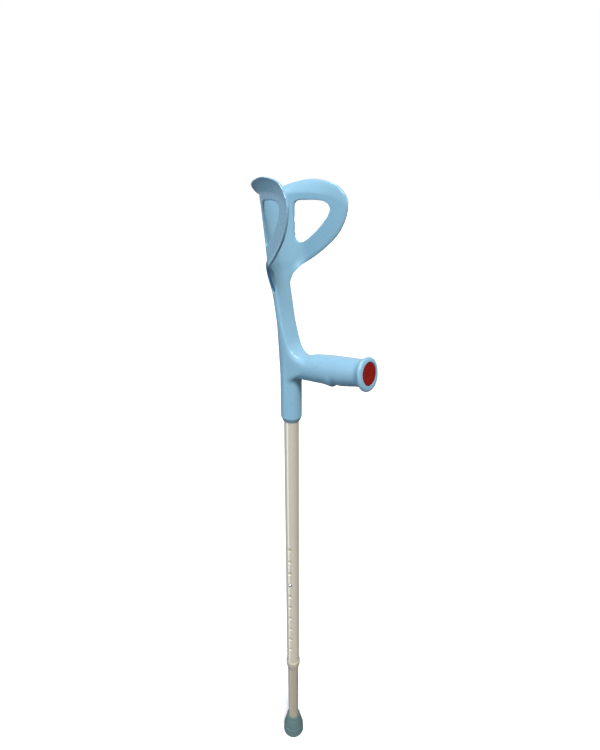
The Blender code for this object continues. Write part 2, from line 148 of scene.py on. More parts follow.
def cut(obj, cutter, solver="EXACT"):
    """Take the cutter away from obj, and then remove it."""
    mod = obj.modifiers.new("cut", "BOOLEAN")
    mod.operation = "DIFFERENCE"
    mod.solver = solver
    mod.object = cutter
    settle(obj)
    bpy.data.objects.remove(cutter, do_unlink=True)
    return obj


def smooth_line(knots, per=4, closed=False):
    """Catmull-Rom points through a few knots."""
    pts = np.array(knots, float)
    n = len(pts)
    out = []
    for i in range(n if closed else n - 1):
        if closed:
            p0, p1, p2, p3 = pts[(i - 1) % n], pts[i], pts[(i + 1) % n], pts[(i + 2) % n]
        else:
            p0, p1, p2, p3 = pts[max(i - 1, 0)], pts[i], pts[i + 1], pts[min(i + 2, n - 1)]
        for j in range(per):
            t = j / per
            out.append(0.5 * (2 * p1 + (p2 - p0) * t + (2 * p0 - 5 * p1 + 4 * p2 - p3) * t ** 2
                              + (3 * p1 - p0 - 3 * p2 + p3) * t ** 3))
    if not closed:
        out.append(pts[-1])
    return np.array(out)


def lathe(name, profile, steps=96, closed=False):
    """Turn a half-section (radius, height) about Z; points on the axis become poles."""
    verts, faces, rows = [], [], []
    for r, h in profile:
        if r < 1e-6:
            rows.append([len(verts)])
            verts.append((0.0, 0.0, h))
        else:
            rows.append(list(range(len(verts), len(verts) + steps)))
            turns = [2 * math.pi * k / steps for k in range(steps)]
            verts += [(r * math.cos(t), r * math.sin(t), h) for t in turns]
    pairs = list(zip(rows[:-1], rows[1:]))
    if closed:
        pairs.append((rows[-1], rows[0]))
    for a, b in pairs:
        for k in range(steps):
            k2 = (k + 1) % steps
            if len(a) == 1 and len(b) == 1:
                continue
            if len(a) == 1:
                faces.append((a[0], b[k], b[k2]))
            elif len(b) == 1:
                faces.append((a[k], b[0], a[k2]))
            else:
                faces.append((a[k], b[k], b[k2], a[k2]))
    return tidy(new_object(name, verts, faces))


def loft(name, rings):
    """A closed skin over a stack of rings with equal point counts."""
    n = len(rings[0])
    verts = [p for ring in rings for p in ring]
    faces = []
    for i in range(len(rings) - 1):
        for k in range(n):
            k2 = (k + 1) % n
            faces.append((i * n + k, i * n + k2, (i + 1) * n + k2, (i + 1) * n + k))
    faces.append(tuple(range(n))[::-1])
    faces.append(tuple((len(rings) - 1) * n + k for k in range(n)))
    return tidy(new_object(name, verts, faces))


def prism(name, outline, y0, y1):
    """A closed outline in X and Z, stretched from one Y to another."""
    n = len(outline)
    verts = [(x, y0, z) for x, z in outline] + [(x, y1, z) for x, z in outline]
    faces = [(k, (k + 1) % n, n + (k + 1) % n, n + k) for k in range(n)]
    faces += [tuple(range(n))[::-1], tuple(range(n, 2 * n))]
    return tidy(new_object(name, verts, faces))


def rod(name, radius, start, end, radius_end=None):
    """A plain cutter from one point to another, straight or tapered."""
    sides = 48
    a, b = Vector(start), Vector(end)
    way = (b - a).to_track_quat("Z", "Y").to_matrix()
    far = radius if radius_end is None else radius_end
    pts = []
    for base, r in ((a, radius), (b, far)):
        for k in range(sides):
            t = 2 * math.pi * k / sides
            pts.append(base + way @ Vector((r * math.cos(t), r * math.sin(t), 0)))
    faces = [(k, (k + 1) % sides, sides + (k + 1) % sides, sides + k) for k in range(sides)]
    faces += [tuple(range(sides))[::-1], tuple(range(sides, 2 * sides))]
    return tidy(new_object(name, pts, faces))


def place(obj, matrix):
    obj.data.transform(matrix)
    return obj


ALONG_GRIP = (Matrix.Translation((0, 0, GRIP_ROOT_Z * MM))
              @ Matrix.Rotation(math.pi / 2 - GRIP_RISE, 4, "Y"))
ON_BUTTON = (Matrix.Translation((0, 0, BUTTON_Z * MM)) @ Matrix.Rotation(HOLE_AZIMUTH, 4, "Z")
             @ Matrix.Rotation(math.pi / 2, 4, "Y"))
ON_SCREW = Matrix.Translation((0, 0, SCREW_Z * MM)) @ Matrix.Rotation(-math.pi / 2, 4, "Y")
FACING = np.array([math.cos(HOLE_AZIMUTH), math.sin(HOLE_AZIMUTH), 0.0])    # out of the holes


def together(name, objects):
    """One object holding the meshes of several."""
    bm = bmesh.new()
    for o in objects:
        bm.from_mesh(o.data)
        bpy.data.objects.remove(o, do_unlink=True)
    mesh = bpy.data.meshes.new(name)
    bm.to_mesh(mesh)
    bm.free()
    obj = bpy.data.objects.new(name, mesh)
    scene.collection.objects.link(obj)
    return obj


def coords(obj):
    co = np.empty(len(obj.data.vertices) * 3)
    obj.data.vertices.foreach_get("co", co)
    return co.reshape(-1, 3)


def set_coords(obj, co):
    obj.data.vertices.foreach_set("co", co.ravel())
    obj.data.update()


def neighbours(obj):
    """A function that gives the mean of each vertex's neighbours, for any coordinates."""
    n = len(obj.data.vertices)
    edges = np.empty(len(obj.data.edges) * 2, dtype=np.int64)
    obj.data.edges.foreach_get("vertices", edges)
    a, b = edges[0::2], edges[1::2]
    count = np.maximum(np.bincount(a, minlength=n) + np.bincount(b, minlength=n), 1)

    def mean(co):
        return np.stack([(np.bincount(a, co[b, k], n) + np.bincount(b, co[a, k], n)) / count
                         for k in range(3)], axis=1)

    return mean


def relax(obj, rounds, amount=0.5, back=-0.53):
    """Neighbour averaging: a number, or one amount for each vertex. back undoes the shrinking."""
    co = coords(obj)
    mean = neighbours(obj)
    amount = np.broadcast_to(np.asarray(amount, float), (len(co),))[:, None]
    for i in range(rounds):
        for f in ((1.0, back / 0.5) if back else (1.0,)):
            co = co + (mean(co) - co) * amount * f
    set_coords(obj, co)


# ---------------------------------------------------------------- cuff
def cuff_point(u, z, off):
    """u: distance round the wall from the middle of the back; off: outward offset."""
    dz = z - CUFF_REF_Z
    radius = CUFF_R + CUFF_R_GROW * dz
    a = abs(u)
    phi = min(a / radius, CUFF_ARC)
    x = CUFF_BACK_X + CUFF_LEAN * dz + radius * (1 - math.cos(phi))
    y = radius * math.sin(phi)
    rest = a - radius * phi
    x += rest * math.sin(phi)
    y += rest * math.cos(phi)
    y += CUFF_TAPER * dz * min(1.0, a / radius)
    x -= off * math.cos(phi)
    y += off * math.sin(phi)
    return (x, math.copysign(y, u) if u else 0.0, z)


# edges of the cuff: distance round the wall and height
LOW_EDGE = smooth_line([(0, 868), (7, 868), (12, 876), (17, 887), (28, 896.5), (44, 905.5),
                        (66, 919.5), (90, 939), (105, 959.5), (CUFF_HALF, 975)], 6)
TOP_EDGE = smooth_line([(0, 987), (8, 987.5), (15, 990), (22, 994), (30, 998), (40, 1001.6),
                        (55, 1005.2), (72, 1006.2), (91, 1003), (103, 997.4), (109.5, 988.6),
                        (CUFF_HALF, 982)], 6)
# where the lip starts to flare, and how far it reaches, round the wall
LIP_START = [(0, 981), (15, 984.5), (30, 988.5), (45, 989.5), (62, 989.5), (78, 988), (92, 985.5),
             (112, 975)]
LIP_REACH = [(0, 5.0), (15, 6.0), (30, 8.6), (45, 9.3), (62, 8.8), (78, 6.6), (92, 3.6), (112, 1.0)]


def look_up(u, knots):
    table = np.array(knots, float)
    return float(np.interp(abs(u), table[:, 0], table[:, 1]))


def lip(u, z, top):
    """Outward offset of the flared lip."""
    start = look_up(u, LIP_START)
    t = min(max((z - start) / max(top - start, 1.0), 0.0), 1.0)
    return look_up(u, LIP_REACH) * (0.46 * t + 0.54 * t * t)


def cuff_shell():
    """The wall between its edges, with columns closer together at the tips of the wings."""
    half = [0.0]
    while half[-1] < 100:
        half.append(half[-1] + 1.8)
    half += [103, 105, 107, 108.6, 109.8, 110.7, 111.3]
    us = [-c for c in half[::-1][:-1]] + half
    rows = 72
    verts = []
    for side in (0.5, -0.5):
        for u in us:
            low, top = look_up(u, LOW_EDGE), look_up(u, TOP_EDGE)
            for i in range(rows):
                z = low + (top - low) * i / (rows - 1)
                edge = min(z - low, (CUFF_HALF - abs(u)) * 1.2, top - z)
                # the rim rolls out, the fold beside the neck tucks in, the middle steps back
                roll = 1.2 * max(0.0, 1 - edge / 6.0) ** 2
                fold = math.exp(-((abs(u) - 24) / 9) ** 2)
                tuck = 3.6 * fold * max(0.0, 1 - (z - low) / 10) ** 2
                near = np.clip((902 - z) / 22, 0, 1) * np.clip((22 - abs(u)) / 8, 0, 1)
                sink = 2.4 * float(near)
                off = lip(u, z, top) + roll - tuck + sink + side * CUFF_WALL
                verts.append(cuff_point(u, z, off))
    nc = len(us)

    def at(s, c, r):
        return (s * nc + c) * rows + r

    faces = []
    for c in range(nc - 1):
        for r in range(rows - 1):
            faces.append((at(0, c, r), at(0, c, r + 1), at(0, c + 1, r + 1), at(0, c + 1, r)))
            faces.append((at(1, c, r), at(1, c + 1, r), at(1, c + 1, r + 1), at(1, c, r + 1)))
        for r in (0, rows - 1):
            faces.append((at(0, c, r), at(0, c + 1, r), at(1, c + 1, r), at(1, c, r)))
    for c in (0, nc - 1):
        for r in range(rows - 1):
            faces.append((at(0, c, r), at(0, c, r + 1), at(1, c, r + 1), at(1, c, r)))
    return tidy(new_object("cuff_shell", verts, faces))


# outline of a wing's window, X and Z
WINDOW = [(-18.8, 972), (-15.5, 979.5), (-4, 980.6), (9, 980.6), (20.5, 978.4), (26.6, 971),
          (23.6, 960), (14, 947), (3.6, 936), (-5, 929), (-11, 927.5), (-16, 933), (-18, 952)]

# height, front X, back X, half width, straight side, hollow of the front
NECK = [(744, 13.0, -15.4, 15.0, 13.0, 0.0), (757, 27.0, -16.6, 15.1, 27.0, 0.0),
        (767, 34.0, -17.4, 15.1, 34.0, 0.0), (773.5, 35.5, -18.0, 15.0, 35.5, 0.0),
        (777.5, 29.5, -18.3, 15.0, 29.5, 0.0), (781, 21.5, -18.5, 14.9, 21.5, 0.0),
        (785.5, 14.2, -18.7, 14.8, 15.5, 0.0), (791.5, 8.4, -18.9, 14.8, 11.0, 0.0),
        (800, 4.0, -19.0, 14.8, 8.0, 0.0), (817, -1.3, -19.6, 14.9, 5.5, 0.0),
        (833, -5.3, -20.8, 15.0, 5.0, 0.0), (855, -9.4, -24.6, 15.0, 5.5, 0.1),
        (868, -12.2, -28.4, 15.0, 6.6, 0.3), (881, -14.8, -33.4, 15.2, 9.8, 0.5),
        (890, -17.0, -36.0, 15.2, 11.8, 0.8), (898, -19.2, -36.8, 15.0, 12.4, 1.0),
        (904, -20.8, -35.4, 14.6, 10.0, 1.0), (908.5, -21.8, -31.0, 13.4, 5.0, 1.0)]
# outline of the hollow in each side of the neck, X and Z
NECK_HOLLOW = [(-15.6, 864), (-18.4, 878), (-20.6, 888), (-23.0, 898), (-25.5, 904.0), (-29.5, 901),
               (-29.8, 892), (-26.6, 881), (-21.2, 869)]
# half the thickness that the two hollows leave between them
WEB = 4.2


def neck_ring(z, front, back, half, side, hollow):
    """One section of the neck: a flat or hollow front, straight sides and a round back."""
    ring = []
    for k in range(25):
        y = -half + 2 * half * k / 24
        ring.append((front + hollow * y * y / (2 * CUFF_R), y, z))
    corner = ring[-1][0]
    mid = corner - side
    for k in range(1, 5):
        ring.append((corner - side * k / 5, half, z))
    for k in range(31):
        a = math.pi * k / 30
        ring.append((mid + (back - mid) * math.sin(a), half * math.cos(a), z))
    for k in range(4, 0, -1):
        ring.append((corner - side * k / 5, -half, z))
    return ring


# distance along the grip, half height up, half height down, half width
GRIP = [(2, 15.5, 15.5, 13.9), (18, 17.4, 17.0, 14.9), (36, 18.7, 17.9, 15.5),
        (50, 19.9, 18.8, 16.0), (62, 20.2, 19.6, 16.3), (69, 20.2, 20.9, 16.4),
        (73.5, 20.0, 22.2, 16.4), (77.5, 20.0, 20.6, 16.4), (81.5, 19.9, 18.5, 16.4),
        (86, 19.7, 18.9, 16.4), (91, 19.3, 19.5, 16.5), (99, 18.9, 18.8, 16.6),
        (108, 18.5, 18.0, 16.8), (116, 18.0, 17.5, 16.9), (120.4, 18.1, 18.2, 17.3),
        (123.4, 18.9, 19.7, 18.5), (126, 20.2, 21.6, 20.2), (127.8, 20.8, 22.7, 21.1),
        (129.4, 20.6, 22.6, 21.0), (130.6, 19.8, 21.8, 20.1), (131.4, 18.4, 20.4, 18.7),
        (GRIP_FACE, 16.4, 18.2, 16.7)]
ROUNDNESS = 0.92                    # 1 gives ellipses, less gives fuller corners


def grip():
    rings = []
    for s, up, down, half in smooth_line(GRIP, 6):
        cx, cz = s * math.cos(GRIP_RISE), GRIP_ROOT_Z + s * math.sin(GRIP_RISE)
        ring = []
        for k in range(72):
            a = 2 * math.pi * k / 72
            ca, sa = math.cos(a), math.sin(a)
            y = half * math.copysign(abs(ca) ** ROUNDNESS, ca)
            h = (up if sa > 0 else down) * math.copysign(abs(sa) ** ROUNDNESS, sa)
            ring.append((cx - h * math.sin(GRIP_RISE), y, cz + h * math.cos(GRIP_RISE)))
        rings.append(ring)
    return loft("grip", rings)


def neck_front(z):
    return np.interp(z, [row[0] for row in NECK], [row[1] for row in NECK])


def soften(obj):
    """Fillets where the grip, neck and sleeve meet, and where the neck spreads into the cuff."""
    x, y, z = (coords(obj) / MM).T
    crook = 1.5 * np.exp(-((x - 22) / 13) ** 2 - ((z - 785) / 9) ** 2)
    under = np.exp(-((x - 15) / 13) ** 2 - ((z - 745) / 12) ** 2)
    side = 0.7 * np.exp(-((x - 10) / 13) ** 2 - ((z - 765) / 18) ** 2)
    relax(obj, 90, 0.5 * np.clip(np.maximum(crook, np.maximum(under, side)), 0, 1), 0)

    x, y, z = (coords(obj) / MM).T
    ridge = ((np.abs(y) > 9) * (np.abs(x - neck_front(z)) < 7)
             * np.clip((z - 770) / 10, 0, 1) * np.clip((880 - z) / 12, 0, 1))
    relax(obj, 10, 0.5 * np.clip(ridge, 0, 1), 0)

    x, y, z = (coords(obj) / MM).T
    spread = (np.exp(-((z - 886) / 14) ** 2) * np.clip((17 - np.abs(y)) / 5, 0, 1)
              * (x > neck_front(z) - 3.0))
    relax(obj, 40, 0.5 * spread, 0)
    relax(obj, 8, 0.5 * np.clip((z - 912) / 8, 0, 1))


def cut_openings(obj):
    """The bore for the tube, the chamfered foot, and the pockets for reflector and screw."""
    bore = [(0, SLEEVE_FOOT - 10), (TUBE_R + 0.3, SLEEVE_FOOT - 10), (TUBE_R + 0.3, BORE_TOP),
            (0, BORE_TOP)]
    trim = [(5.0, SLEEVE_FOOT), (12.3, SLEEVE_FOOT), (12.7, SLEEVE_FOOT + 0.3),
            (SLEEVE_R - 0.1, 683.3), (SLEEVE_R + 0.3, 684.6), (25.0, 684.6), (25.0, 660.0),
            (5.0, 660.0)]
    pocket = [(0, 6), (LENS_R + 1.0, 6), (LENS_R + 0.35, -0.5), (LENS_R + 0.3, -3.4), (14.8, -3.4),
              (14.8, -5.9), (4.4, -5.9), (4.4, -24.0), (0, -24.0)]
    head = [(0, 30), (3.7, 30), (3.7, 13.0), (SCREW_R, 13.0), (SCREW_R, 10.0), (0, 10.0)]
    cut(obj, lathe("bore", bore), QUICK)
    cut(obj, lathe("trim", trim, 96, True), QUICK)
    from_face = [(r, GRIP_FACE + h) for r, h in pocket]
    cut(obj, place(lathe("pocket", from_face), ALONG_GRIP), QUICK)
    cut(obj, place(lathe("screw_pocket", head, 40), ON_SCREW), QUICK)


def upper_moulding():
    """Cuff, neck, sleeve and grip under one skin, then softened and cut."""
    shell = cuff_shell()
    for side, shift in ((1, 0.0), (-1, 1.6)):
        outline = [(x + shift, z) for x, z in smooth_line(WINDOW, 6, True)]
        cut(shell, prism("window", outline, 3.0 * side, 80.0 * side))
    neck = loft("neck", [neck_ring(*row) for row in smooth_line(NECK, 6)])
    for side in (1, -1):
        outline = smooth_line(NECK_HOLLOW, 4, True)
        cut(neck, prism("hollow", outline, WEB * side, 40.0 * side))
    sleeve = lathe("sleeve", [(0, 775), (SLEEVE_R - 0.2, 775), (SLEEVE_R, 760), (SLEEVE_R, 672),
                              (0, 672)])
    obj = together("moulded_upper", [shell, neck, sleeve, grip()])
    mod = obj.modifiers.new("skin", "REMESH")
    mod.mode = "VOXEL"
    mod.voxel_size = VOXEL * MM
    settle(obj)
    relax(obj, 6)
    soften(obj)
    cut_openings(obj)
    return obj


def finish_shape(obj):
    obj.data.shade_smooth()
    obj.data.set_sharp_from_angle(angle=SHARP)
    return obj


def mark_edges(obj):
    """How far each vertex stands out of its neighbourhood: convex edges up, for rubbed wear and a
    painted highlight; creases down, for painted shade.
    """
    co = coords(obj)
    average = neighbours(obj)
    mean = co
    for i in range(3):
        mean = average(mean)
    normals = np.empty(len(co) * 3, dtype=np.float32)
    obj.data.vertices.foreach_get("normal", normals)
    out = ((co - mean) * normals.reshape(-1, 3)).sum(1) / (0.35 * MM)
    layer = obj.data.attributes.new("edge", "FLOAT", "POINT")
    layer.data.foreach_set("value", np.clip(out, -1, 1).astype(np.float32))


# ---------------------------------------------------------------- materials
# sockets of a colour mix node and of a range node
MIX_A, MIX_B, MIXED = 6, 7, 2
RANGE = ("From Min", "From Max", "To Min", "To Max")


class Finish:
    """A procedural material under construction."""

    def __init__(self, name, colour, rough, metal=0.0, coat=0.0, coat_rough=0.1, level=0.5):
        self.mat = bpy.data.materials.new(name)
        self.mat.use_nodes = True
        self.tree = self.mat.node_tree
        self.shader = self.tree.nodes["Principled BSDF"]
        for socket, value in (("Metallic", metal), ("Roughness", rough), ("Coat Weight", coat),
                              ("Coat Roughness", coat_rough), ("Specular IOR Level", level),
                              ("IOR", 1.5)):
            self.shader.inputs[socket].default_value = value
        self.shader.inputs["Base Color"].default_value = (*colour, 1)
        self.where = self.node("ShaderNodeTexCoord").outputs["Object"]
        self.colour = None
        self.start = colour
        self.bump_chain = None

    def node(self, kind, **values):
        made = self.tree.nodes.new(kind)
        for key, value in values.items():
            setattr(made, key, value)
        return made

    def link(self, a, b):
        self.tree.links.new(a, b)

    def stretched(self, scale, turn=(0, 0, 0)):
        mapping = self.node("ShaderNodeMapping")
        mapping.inputs["Scale"].default_value = scale
        mapping.inputs["Rotation"].default_value = turn
        self.link(self.where, mapping.inputs["Vector"])
        return mapping.outputs["Vector"]

    def noise(self, scale, detail=3.0, stretch=(1, 1, 1), rough=0.55, turn=(0, 0, 0)):
        made = self.node("ShaderNodeTexNoise")
        made.inputs["Scale"].default_value = scale
        made.inputs["Detail"].default_value = detail
        made.inputs["Roughness"].default_value = rough
        self.link(self.stretched(stretch, turn), made.inputs["Vector"])
        return made.outputs["Fac"]

    def cells(self, scale):
        made = self.node("ShaderNodeTexVoronoi", feature="F1")
        made.inputs["Scale"].default_value = scale
        self.link(self.stretched((1, 1, 1)), made.inputs["Vector"])
        return made.outputs["Distance"]

    def attribute(self, name):
        return self.node("ShaderNodeAttribute", attribute_name=name).outputs["Fac"]

    def span(self, value, lo, hi, out_lo=0.0, out_hi=1.0):
        made = self.node("ShaderNodeMapRange")
        for socket, number in zip(RANGE, (lo, hi, out_lo, out_hi)):
            made.inputs[socket].default_value = number
        self.link(value, made.inputs["Value"])
        return made.outputs["Result"]

    def calc(self, how, a, b):
        made = self.node("ShaderNodeMath", operation=how)
        for socket, value in ((0, a), (1, b)):
            if isinstance(value, (int, float)):
                made.inputs[socket].default_value = value
            else:
                self.link(value, made.inputs[socket])
        return made.outputs[0]

    def tint(self, fac, colour):
        """Mix towards a colour where fac rises."""
        made = self.node("ShaderNodeMix", data_type="RGBA")
        if self.colour is None:
            made.inputs[MIX_A].default_value = (*self.start, 1)
        else:
            self.link(self.colour, made.inputs[MIX_A])
        made.inputs[MIX_B].default_value = (*colour, 1)
        self.link(fac, made.inputs[0])
        self.colour = made.outputs[MIXED]
        self.link(self.colour, self.shader.inputs["Base Color"])

    def roughen(self, value):
        self.link(value, self.shader.inputs["Roughness"])

    def bump(self, value, strength, distance):
        made = self.node("ShaderNodeBump")
        made.inputs["Strength"].default_value = strength
        made.inputs["Distance"].default_value = distance * MM
        self.link(value, made.inputs["Height"])
        if self.bump_chain is not None:
            self.link(self.bump_chain, made.inputs["Normal"])
        self.bump_chain = made.outputs["Normal"]
        self.link(self.bump_chain, self.shader.inputs["Normal"])


def shade(colour, factor):
    return tuple(min(c * factor, 1.0) for c in colour)


def dress(obj, finish):
    obj.data.materials.clear()
    obj.data.materials.append(finish.mat)


def redress(node, finish):
    """A new material on a CAD node, whose mesh stays as it is."""
    for slot in bpy.data.objects[node].material_slots:
        slot.material = finish.mat


BLUE = (0.265, 0.487, 0.632)


def blue_plastic():
    f = Finish("blue_plastic", BLUE, 0.30, coat=0.15, coat_rough=0.12, level=0.35)
    cloud = f.noise(22, 2.0)
    f.tint(f.span(cloud, 0.35, 0.65, 0.0, 0.35), shade(BLUE, 1.09))
    speck = f.noise(1500, 2.0)
    f.tint(f.span(speck, 0.55, 0.75, 0.0, 0.12), shade(BLUE, 0.84))
    edge = f.attribute("edge")
    patchy = f.noise(90, 4.0)
    # convex edges lighter in patches: partly rubbed wear, partly a painted highlight
    rubbed_wear_and_highlight = f.calc("MULTIPLY", f.span(edge, 0.35, 1.0), f.span(patchy, 0.40, 0.62))
    f.tint(f.calc("MULTIPLY", rubbed_wear_and_highlight, 0.45), shade(BLUE, 1.32))
    # creases darker: painted shade
    f.tint(f.span(edge, -0.30, -1.0, 0.0, 0.40), shade(BLUE, 0.72))
    scuff = f.span(f.noise(60, 5.0, (1, 1, 9), 0.7, (0.5, 0.9, 0.0)), 0.70, 0.78)
    f.tint(f.calc("MULTIPLY", scuff, 0.14), shade(BLUE, 1.18))
    base = f.span(f.noise(160, 4.0), 0.3, 0.7, 0.25, 0.35)
    f.roughen(f.calc("ADD", base, f.calc("MULTIPLY", scuff, 0.06)))
    f.bump(f.noise(700, 3.0), 0.04, 0.08)
    f.bump(f.noise(35, 2.0), 0.07, 0.5)
    return f


def anodised(name, colour, rough, deep=1.0):
    """Drawn and anodised tube: fine lines along it, faint clouds, sparse sliding marks."""
    f = Finish(name, colour, rough, metal=0.4)
    lines = f.noise(1100, 3.0, (1, 1, 0.006), 0.7)
    broad = f.noise(260, 2.0, (1, 1, 0.01), 0.5)
    cloud = f.noise(45, 3.0, (1, 1, 0.4))
    f.tint(f.span(lines, 0.35, 0.65, 0.0, 0.25), shade(colour, 0.90))
    f.tint(f.span(broad, 0.40, 0.62, 0.0, 0.20), shade(colour, 1.07))
    f.tint(f.span(cloud, 0.45, 0.70, 0.0, 0.25), shade(colour, 0.90))
    mark = f.span(f.noise(520, 4.0, (1, 1, 0.03), 0.75), 0.70, 0.74)
    f.tint(f.calc("MULTIPLY", mark, 0.35 * deep), shade(colour, 1.3))
    base = f.span(lines, 0.3, 0.7, rough - 0.03, rough + 0.05)
    f.roughen(f.calc("ADD", base, f.calc("MULTIPLY", mark, 0.08)))
    f.bump(lines, 0.03, 0.04)
    return f


def beige_plastic():
    colour = (0.50, 0.455, 0.36)
    f = Finish("collar_plastic", colour, 0.42)
    f.tint(f.span(f.noise(120, 4.0), 0.40, 0.65, 0.0, 0.40), shade(colour, 0.88))
    f.tint(f.span(f.noise(1300, 2.0), 0.55, 0.75, 0.0, 0.35), shade(colour, 1.2))
    f.roughen(f.span(f.noise(240, 4.0), 0.3, 0.7, 0.36, 0.50))
    f.bump(f.noise(800, 3.0), 0.12, 0.10)
    return f


def grey_rubber():
    colour = (0.100, 0.168, 0.168)
    f = Finish("ferrule_rubber", colour, 0.66, level=0.35)
    f.tint(f.span(f.noise(90, 4.0), 0.40, 0.65, 0.0, 0.55), shade(colour, 1.16))
    f.tint(f.span(f.noise(1400, 3.0), 0.52, 0.72, 0.0, 0.40), shade(colour, 0.78))
    split = f.node("ShaderNodeSeparateXYZ")
    f.link(f.where, split.inputs[0])
    low = f.span(split.outputs["Z"], 0.010, 0.0, 0.0, 1.0)
    dusty = f.calc("MULTIPLY", low, f.span(f.noise(140, 5.0), 0.35, 0.65))
    f.tint(f.calc("MULTIPLY", dusty, 0.5), (0.20, 0.215, 0.205))
    f.roughen(f.span(f.noise(220, 4.0), 0.3, 0.7, 0.58, 0.78))
    f.bump(f.noise(650, 4.0), 0.22, 0.18)
    return f


def reflector_plastic():
    colour = (0.215, 0.0065, 0.0045)
    f = Finish("reflector_lens", colour, 0.36, level=0.12)
    grid = f.cells(360)
    f.tint(f.span(grid, 0.25, 0.60, 0.0, 0.50), (0.36, 0.016, 0.010))
    f.tint(f.span(f.noise(110, 3.0), 0.50, 0.68, 0.0, 0.55), (0.11, 0.003, 0.003))
    f.roughen(f.span(f.noise(300, 3.0), 0.3, 0.7, 0.30, 0.44))
    f.bump(grid, 0.20, 0.20)
    return f


def bright_steel(name, colour, rough):
    f = Finish(name, colour, rough, metal=1.0)
    f.tint(f.span(f.noise(300, 4.0), 0.45, 0.70, 0.0, 0.35), shade(colour, 0.75))
    f.tint(f.span(f.noise(2200, 2.0), 0.60, 0.75, 0.0, 0.40), shade(colour, 1.25))
    f.roughen(f.span(f.noise(420, 4.0), 0.3, 0.7, rough - 0.08, rough + 0.10))
    f.bump(f.noise(1500, 3.0), 0.05, 0.05)
    return f


def grey_shell():
    colour = (0.30, 0.30, 0.31)
    f = Finish("reflector_shell", colour, 0.5)
    f.tint(f.span(f.noise(260, 4.0), 0.42, 0.66, 0.0, 0.5), shade(colour, 0.8))
    f.roughen(f.span(f.noise(500, 3.0), 0.3, 0.7, 0.42, 0.6))
    f.bump(f.noise(900, 3.0), 0.1, 0.1)
    return f


def stand_in(obj, node, body, finish):
    """obj takes the place of a CAD node."""
    finish_shape(obj)
    dress(obj, finish)
    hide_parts(node)
    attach(obj, body)


# ---------------------------------------------------------------- pieces
upper = upper_moulding()
mark_edges(upper)
stand_in(upper, "upper_moulding", "upper", blue_plastic())


def tube(name, radius, bore, foot, top):
    """A tube with softly broken ends."""
    c = TUBE_BREAK
    wall = [(radius, top - c - step) for step in np.arange(0.0, top - foot - 2 * c, ROW_STEP)]
    ends = [(radius, foot + c), (radius - c, foot), (bore + 0.2, foot), (bore, foot + 0.2),
            (bore, top - 0.2), (bore + 0.2, top), (radius - c, top)]
    return lathe(name, wall + ends, 160, True)


def drill(obj, radius, z, depth_from, depth_to, surface, azimuth=HOLE_AZIMUTH, lead=0.55):
    """A round hole with a small countersink, from outside."""
    way = np.array([math.cos(azimuth), math.sin(azimuth), 0.0])
    at = np.array([0, 0, z])
    cut(obj, rod("hole", radius, at + way * depth_from, at + way * depth_to), QUICK)
    if lead:
        cut(obj, rod("lead", radius, at + way * (surface - lead), at + way * (surface + lead),
                     radius + 2 * lead), QUICK)


outer = tube("adjusting_tube", TUBE_R, TUBE_BORE, TUBE_FOOT, TUBE_TOP)
for i in range(HOLE_COUNT):
    drill(outer, HOLE_R, HOLE_TOP - i * HOLE_PITCH, 5.0, 16.0, TUBE_R)
drill(outer, SCREW_R, SCREW_Z, 6.0, 16.0, TUBE_R, math.pi, 0)
stand_in(outer, "outer_tube", "upper",
         anodised("anodised_outer", (0.94, 0.86, 0.70), 0.27))

inner = tube("sliding_tube", INNER_R, INNER_BORE, INNER_FOOT, INNER_TOP)
drill(inner, HOLE_R, BUTTON_Z, 5.0, 14.0, INNER_R, HOLE_AZIMUTH, 0)
stand_in(inner, "inner_tube", "lower_leg",
         anodised("anodised_inner", (0.66, 0.58, 0.45), 0.34, 2.0))

# the turned pieces below are half-sections: radius and height
outside = smooth_line([(11.9, 189.0), (12.25, 188.7), (12.4, 187.6), (12.4, 184.6), (12.25, 181.0),
                       (11.8, 178.2), (11.1, 175.0), (10.55, 172.6), (10.3, 170.9),
                       (10.15, 170.5), (9.9, 170.5), (9.8, 171.0)], 3).tolist()
inside = [(9.8, 182.7), (11.3, 182.7), (11.3, 188.4), (11.5, 189.0)]
collar = lathe("collar", outside + inside, 112, True)
stand_in(collar, "collar_bush", "upper", beige_plastic())

dome = smooth_line([(0, 13.2), (0.8, 13.12), (1.6, 12.8), (2.3, 12.25), (2.8, 11.4), (3.0, 10.6)],
                   4).tolist()
stem = [(3.0, 7.3), (1.0, 7.3), (1.0, 6.1), (2.0, 6.1), (2.0, 5.5), (0, 5.5)]
button = place(lathe("snap_button_dome", dome + stem, 56), ON_BUTTON)
stand_in(button, "snap_button", "button",
         bright_steel("button_steel", (0.72, 0.71, 0.68), 0.24))

outside = smooth_line([(11.4, 43.0), (12.2, 42.7), (12.6, 41.8), (12.6, 40.6), (12.35, 39.6),
                       (12.3, 38.9), (12.75, 38.1), (13.3, 36.4), (14.2, 33.2), (15.2, 29.4),
                       (16.1, 25.6), (16.9, 21.8), (17.3, 18.8), (17.5, 17.4), (18.0, 16.9),
                       (18.45, 16.3), (18.5, 15.3), (18.2, 14.4), (17.95, 13.9), (18.15, 12.4),
                       (18.6, 8.0), (18.9, 4.0), (18.9, 1.8), (18.5, 0.5), (17.7, 0.0)], 3).tolist()
tread = [(13.6, 0.0), (13.2, 1.4), (12.0, 1.4), (11.6, 0.0), (9.2, 0.0), (8.8, 1.4), (7.6, 1.4),
         (7.2, 0.0), (4.8, 0.0), (4.5, 1.2), (3.6, 1.2), (3.3, 0.0), (0, 0)]
inside = [(0, 13.1), (10.6, 13.1), (10.6, 15.4), (9.8, 15.6), (9.8, 42.4), (10.2, 43.0)]
ferrule = lathe("rubber_tip", inside + outside + tread, 112)
stand_in(ferrule, "ferrule", "lower_leg", grey_rubber())

